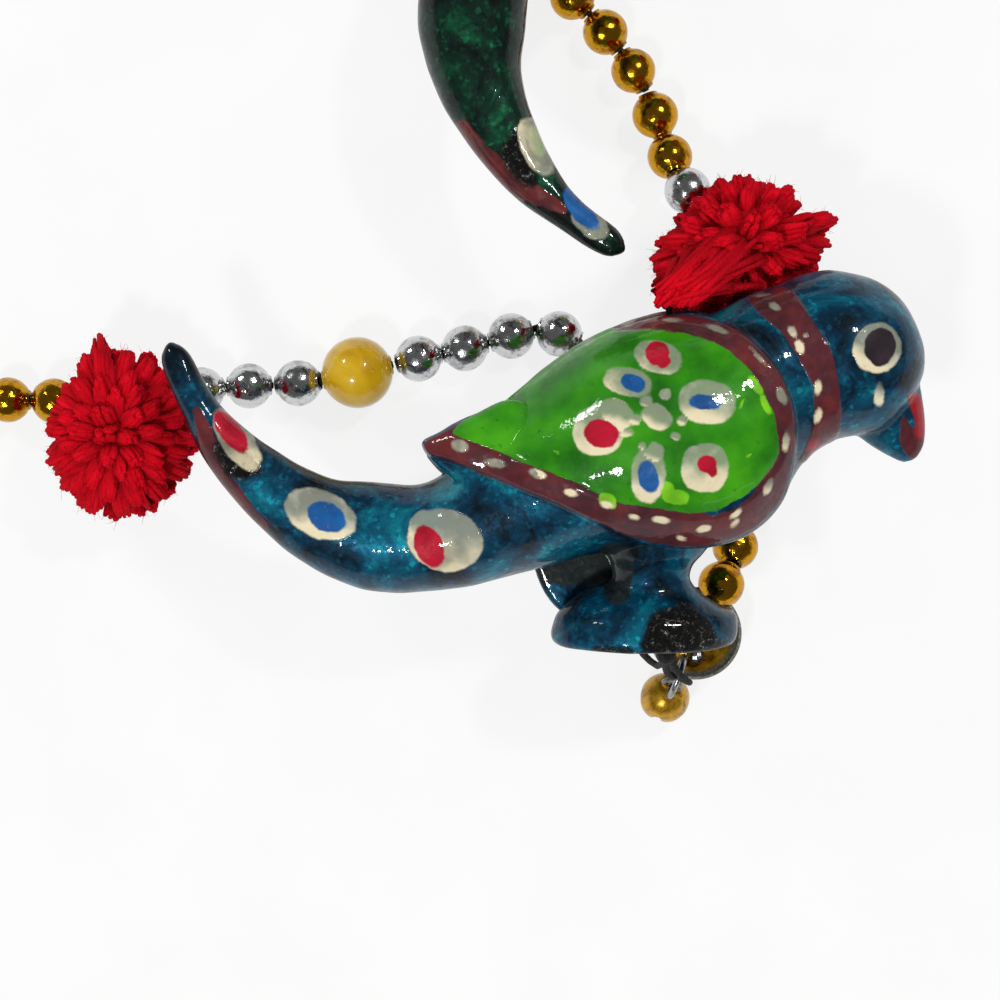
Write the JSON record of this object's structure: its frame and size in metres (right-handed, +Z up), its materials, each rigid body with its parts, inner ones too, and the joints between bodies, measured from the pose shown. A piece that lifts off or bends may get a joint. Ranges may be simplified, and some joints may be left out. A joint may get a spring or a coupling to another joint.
{
  "type": "beaded bird garland",
  "caption": "String garland of lacquered papier-mache birds, wool pom-poms, plated round beads and small bells, laid down on a table.",
  "frame": {"origin": "middle of the footprint, on the table that the garland lies on", "axes": "+Z up from the table; +X along the first bird, tail to head; +Y from the first bird to the second"},
  "size_m": [0.2058, 0.2044, 0.0476],
  "materials": {
    "teal_lacquer": "glossy metallic lacquer with painted flowers",
    "green_lacquer": "glossy dark metallic lacquer",
    "plated_gold": "gold metal plating on plastic",
    "plated_silver": "silver metal plating on plastic",
    "amber_bead": "cloudy translucent yellow",
    "red_wool": "cut wool yarn",
    "black_string": "twisted waxed string",
    "bell_brass": "polished, worn",
    "steel_wire": "bright wire"
  },
  "bodies": {
    "bird_1": {"bird_1": "teal_lacquer", "string_1": "black_string"},
    "string_2": {"string_2": "black_string"},
    "string_3": {"string_3": "black_string"},
    "string_4": {"string_4": "black_string", "pompom_1": "red_wool"},
    "string_5": {"string_5": "black_string"},
    "string_6": {"string_6": "black_string", "pompom_2": "red_wool"},
    "string_7": {"string_7": "black_string"},
    "string_8": {"string_8": "black_string"},
    "bird_2": {"string_9": "black_string", "bird_2": "green_lacquer", "pompom_3": "red_wool"},
    "string_10": {"string_10": "black_string"},
    "gold_bead_1": {"gold_bead_1": "plated_gold"},
    "gold_bead_2": {"gold_bead_2": "plated_gold"},
    "silver_bead_1": {"silver_bead_1": "plated_silver"},
    "silver_bead_2": {"silver_bead_2": "plated_silver"},
    "silver_bead_3": {"silver_bead_3": "plated_silver"},
    "silver_bead_4": {"silver_bead_4": "plated_silver"},
    "silver_bead_5": {"silver_bead_5": "plated_silver"},
    "silver_bead_6": {"silver_bead_6": "plated_silver"},
    "silver_bead_7": {"silver_bead_7": "plated_silver"},
    "silver_bead_8": {"silver_bead_8": "plated_silver"},
    "silver_bead_9": {"silver_bead_9": "plated_silver"},
    "amber_bead": {"amber_bead": "amber_bead"},
    "silver_bead_10": {"silver_bead_10": "plated_silver"},
    "silver_bead_11": {"silver_bead_11": "plated_silver"},
    "silver_bead_12": {"silver_bead_12": "plated_silver"},
    "gold_bead_3": {"gold_bead_3": "plated_gold"},
    "gold_bead_4": {"gold_bead_4": "plated_gold"},
    "gold_bead_5": {"gold_bead_5": "plated_gold"},
    "silver_bead_13": {"silver_bead_13": "plated_silver"},
    "gold_bead_6": {"gold_bead_6": "plated_gold"},
    "gold_bead_7": {"gold_bead_7": "plated_gold"},
    "gold_bead_8": {"gold_bead_8": "plated_gold"},
    "gold_bead_9": {"gold_bead_9": "plated_gold"},
    "gold_bead_10": {"gold_bead_10": "plated_gold"},
    "gold_bead_11": {"gold_bead_11": "plated_gold"},
    "gold_bead_12": {"gold_bead_12": "plated_gold"},
    "gold_bead_13": {"gold_bead_13": "plated_gold"},
    "gold_bead_14": {"gold_bead_14": "plated_gold"},
    "gold_bead_15": {"gold_bead_15": "plated_gold"},
    "gold_bead_16": {"gold_bead_16": "plated_gold"},
    "gold_bead_17": {"gold_bead_17": "plated_gold"},
    "gold_bead_18": {"gold_bead_18": "plated_gold"},
    "jump_ring": {"jump_ring": "steel_wire"},
    "jingle_bell": {"jingle_bell": "bell_brass"},
    "jingle_pellet": {"jingle_pellet": "steel_wire"},
    "cup_bell": {"cup_bell": "bell_brass"},
    "cup_clapper": {"cup_clapper": "steel_wire"}
  },
  "joints": [
    {"name": "string_2_bend", "type": "hinge", "parent": "bird_1", "child": "string_2", "pos_m": [0.01289, -0.0364, 0.004], "axis": [0, 0, 1], "range_deg": [-12, 1]},
    {"name": "string_3_bend", "type": "hinge", "parent": "string_2", "child": "string_3", "pos_m": [-0.01955, -0.04007, 0.00634], "axis": [0, 0, 1], "range_deg": [-14, 2]},
    {"name": "string_4_bend", "type": "hinge", "parent": "string_3", "child": "string_4", "pos_m": [-0.04049, -0.04364, 0.00413], "axis": [0, 0, 1], "range_deg": [-14, 2]},
    {"name": "string_5_bend", "type": "hinge", "parent": "string_4", "child": "string_5", "pos_m": [-0.08241, -0.0462, 0.00446], "axis": [0, 0, 1], "range_deg": [-18, 18]},
    {"name": "string_6_bend", "type": "hinge", "parent": "bird_1", "child": "string_6", "pos_m": [0.02781, -0.02868, 0.02996], "axis": [0, 0, 1], "range_deg": [-2, 8]},
    {"name": "string_7_bend", "type": "hinge", "parent": "string_6", "child": "string_7", "pos_m": [0.02426, 0.00737, 0.004], "axis": [0, 0, 1], "range_deg": [-6, 4]},
    {"name": "string_8_bend", "type": "hinge", "parent": "string_7", "child": "string_8", "pos_m": [0.0018, 0.0323, 0.004], "axis": [0, 0, 1], "range_deg": [-8, 2]},
    {"name": "string_9_bend", "type": "hinge", "parent": "string_8", "child": "bird_2", "pos_m": [-0.02256, 0.05537, 0.00446], "axis": [0, 0, 1], "range_deg": [-6, 1.5]},
    {"name": "string_10_bend", "type": "hinge", "parent": "bird_2", "child": "string_10", "pos_m": [0.06792, 0.0533, 0.00699], "axis": [0, 0, 1], "range_deg": [-18, 18]},
    {"name": "gold_bead_1_spin", "type": "hinge", "parent": "bird_1", "child": "gold_bead_1", "pos_m": [0.03658, -0.07802, 0.01191], "axis": [0.5003, 0.7989, -0.3338], "continuous": true},
    {"name": "gold_bead_2_spin", "type": "hinge", "parent": "bird_1", "child": "gold_bead_2", "pos_m": [0.03939, -0.07164, 0.00735], "axis": [0.1615, 0.7774, -0.6079], "continuous": true},
    {"name": "silver_bead_1_spin", "type": "hinge", "parent": "bird_1", "child": "silver_bead_1", "pos_m": [0.03834, -0.06399, 0.00424], "axis": [-0.4069, 0.9066, -0.1117], "continuous": true},
    {"name": "silver_bead_2_spin", "type": "hinge", "parent": "bird_1", "child": "silver_bead_2", "pos_m": [0.0335, -0.05721, 0.00391], "axis": [-0.72, 0.6937, 0.0216], "continuous": true},
    {"name": "silver_bead_3_spin", "type": "hinge", "parent": "bird_1", "child": "silver_bead_3", "pos_m": [0.02705, -0.05191, 0.004], "axis": [-0.8158, 0.5784, 0], "continuous": true},
    {"name": "silver_bead_4_spin", "type": "hinge", "parent": "bird_1", "child": "silver_bead_4", "pos_m": [0.02092, -0.04625, 0.004], "axis": [-0.6396, 0.7687, 0], "continuous": true},
    {"name": "silver_bead_5_spin", "type": "hinge", "parent": "bird_1", "child": "silver_bead_5", "pos_m": [0.01564, -0.03979, 0.004], "axis": [-0.6304, 0.7763, 0], "continuous": true},
    {"name": "silver_bead_6_spin", "type": "hinge", "parent": "string_2", "child": "silver_bead_6", "pos_m": [0.00904, -0.0347, 0.004], "axis": [-0.9424, 0.3344, 0], "continuous": true},
    {"name": "silver_bead_7_spin", "type": "hinge", "parent": "string_2", "child": "silver_bead_7", "pos_m": [0.00071, -0.03506, 0.00395], "axis": [-0.9549, -0.2966, -0.0124], "continuous": true},
    {"name": "silver_bead_8_spin", "type": "hinge", "parent": "string_2", "child": "silver_bead_8", "pos_m": [-0.00735, -0.03721, 0.00424], "axis": [-0.9712, -0.2217, 0.0876], "continuous": true},
    {"name": "silver_bead_9_spin", "type": "hinge", "parent": "string_2", "child": "silver_bead_9", "pos_m": [-0.01538, -0.03908, 0.0055], "axis": [-0.9528, -0.2248, 0.2041], "continuous": true},
    {"name": "amber_bead_spin", "type": "hinge", "parent": "string_3", "child": "amber_bead", "pos_m": [-0.02594, -0.04154, 0.00623], "axis": [-0.9745, -0.2231, -0.0221], "continuous": true},
    {"name": "silver_bead_10_spin", "type": "hinge", "parent": "string_3", "child": "silver_bead_10", "pos_m": [-0.03625, -0.0433, 0.00509], "axis": [-0.9691, -0.0809, -0.2331], "continuous": true},
    {"name": "silver_bead_11_spin", "type": "hinge", "parent": "string_4", "child": "silver_bead_11", "pos_m": [-0.04484, -0.04376, 0.00431], "axis": [-0.9982, -0.0271, 0.0527], "continuous": true},
    {"name": "silver_bead_12_spin", "type": "hinge", "parent": "string_4", "child": "silver_bead_12", "pos_m": [-0.05294, -0.04461, 0.00601], "axis": [-0.922, -0.1728, 0.3464], "continuous": true},
    {"name": "gold_bead_3_spin", "type": "hinge", "parent": "string_4", "child": "gold_bead_3", "pos_m": [-0.07845, -0.04644, 0.00629], "axis": [-0.8996, 0.0573, -0.433], "continuous": true},
    {"name": "gold_bead_4_spin", "type": "hinge", "parent": "string_5", "child": "gold_bead_4", "pos_m": [-0.08676, -0.0462, 0.00417], "axis": [-0.9987, -0.0016, -0.0518], "continuous": true},
    {"name": "gold_bead_5_spin", "type": "hinge", "parent": "string_5", "child": "gold_bead_5", "pos_m": [-0.0951, -0.0462, 0.00398], "axis": [-1, 0, 0.0049], "continuous": true},
    {"name": "silver_bead_13_spin", "type": "hinge", "parent": "string_6", "child": "silver_bead_13", "pos_m": [0.03086, -0.01068, 0.01151], "axis": [-0.4649, 0.6931, -0.5509], "continuous": true},
    {"name": "gold_bead_6_spin", "type": "hinge", "parent": "string_6", "child": "gold_bead_6", "pos_m": [0.0281, -0.00427, 0.00698], "axis": [-0.2263, 0.822, -0.5226], "continuous": true},
    {"name": "gold_bead_7_spin", "type": "hinge", "parent": "string_6", "child": "gold_bead_7", "pos_m": [0.02573, 0.00329, 0.00435], "axis": [-0.327, 0.9412, -0.0843], "continuous": true},
    {"name": "gold_bead_8_spin", "type": "hinge", "parent": "string_7", "child": "gold_bead_8", "pos_m": [0.02196, 0.01109, 0.00398], "axis": [-0.5329, 0.8462, -0.003], "continuous": true},
    {"name": "gold_bead_9_spin", "type": "hinge", "parent": "string_7", "child": "gold_bead_9", "pos_m": [0.01706, 0.01781, 0.00398], "axis": [-0.643, 0.7658, 0.004], "continuous": true},
    {"name": "gold_bead_10_spin", "type": "hinge", "parent": "string_7", "child": "gold_bead_10", "pos_m": [0.01131, 0.02385, 0.004], "axis": [-0.7326, 0.6807, 0], "continuous": true},
    {"name": "gold_bead_11_spin", "type": "hinge", "parent": "string_7", "child": "gold_bead_11", "pos_m": [0.00511, 0.02943, 0.004], "axis": [-0.7539, 0.657, 0], "continuous": true},
    {"name": "gold_bead_12_spin", "type": "hinge", "parent": "string_8", "child": "gold_bead_12", "pos_m": [-0.00158, 0.03507, 0.004], "axis": [-0.7736, 0.6336, 0], "continuous": true},
    {"name": "gold_bead_13_spin", "type": "hinge", "parent": "string_8", "child": "gold_bead_13", "pos_m": [-0.0081, 0.04029, 0.00397], "axis": [-0.7889, 0.6145, -0.0081], "continuous": true},
    {"name": "gold_bead_14_spin", "type": "hinge", "parent": "string_8", "child": "gold_bead_14", "pos_m": [-0.01454, 0.04559, 0.00397], "axis": [-0.7516, 0.6595, 0.0108], "continuous": true},
    {"name": "gold_bead_15_spin", "type": "hinge", "parent": "string_8", "child": "gold_bead_15", "pos_m": [-0.0201, 0.05179, 0.00421], "axis": [-0.5746, 0.8172, 0.0445], "continuous": true},
    {"name": "gold_bead_16_spin", "type": "hinge", "parent": "bird_2", "child": "gold_bead_16", "pos_m": [0.06407, 0.0535, 0.00905], "axis": [0.8811, -0.048, -0.4706], "continuous": true},
    {"name": "gold_bead_17_spin", "type": "hinge", "parent": "string_10", "child": "gold_bead_17", "pos_m": [0.07199, 0.0532, 0.00548], "axis": [0.9419, -0.023, -0.3351], "continuous": true},
    {"name": "gold_bead_18_spin", "type": "hinge", "parent": "string_10", "child": "gold_bead_18", "pos_m": [0.08021, 0.05298, 0.00404], "axis": [0.9994, -0.0283, -0.0176], "continuous": true},
    {"name": "jump_ring_swing", "type": "hinge", "parent": "bird_1", "child": "jump_ring", "pos_m": [0.02895, -0.0937, 0.0162], "axis": [-0.3502, -0.9367, 0], "range_deg": [-6, 6]},
    {"name": "jingle_bell_swing", "type": "hinge", "parent": "jump_ring", "child": "jingle_bell", "pos_m": [0.02832, -0.09539, 0.00948], "axis": [-0.3502, -0.9367, 0], "range_deg": [-14, 14]},
    {"name": "jingle_pellet_roll", "type": "hinge", "parent": "jingle_bell", "child": "jingle_pellet", "pos_m": [0.02738, -0.09792, 0.00481], "axis": [-0.3502, -0.9367, 0], "range_deg": [-40, 40]},
    {"name": "cup_bell_spin", "type": "hinge", "parent": "bird_1", "child": "cup_bell", "pos_m": [0.03245, -0.0866, 0.002], "axis": [0, 0, 1], "continuous": true},
    {"name": "cup_clapper_swing", "type": "hinge", "parent": "cup_bell", "child": "cup_clapper", "pos_m": [0.03245, -0.0866, 0.005], "axis": [0, 0, 1], "continuous": true}
  ]
}
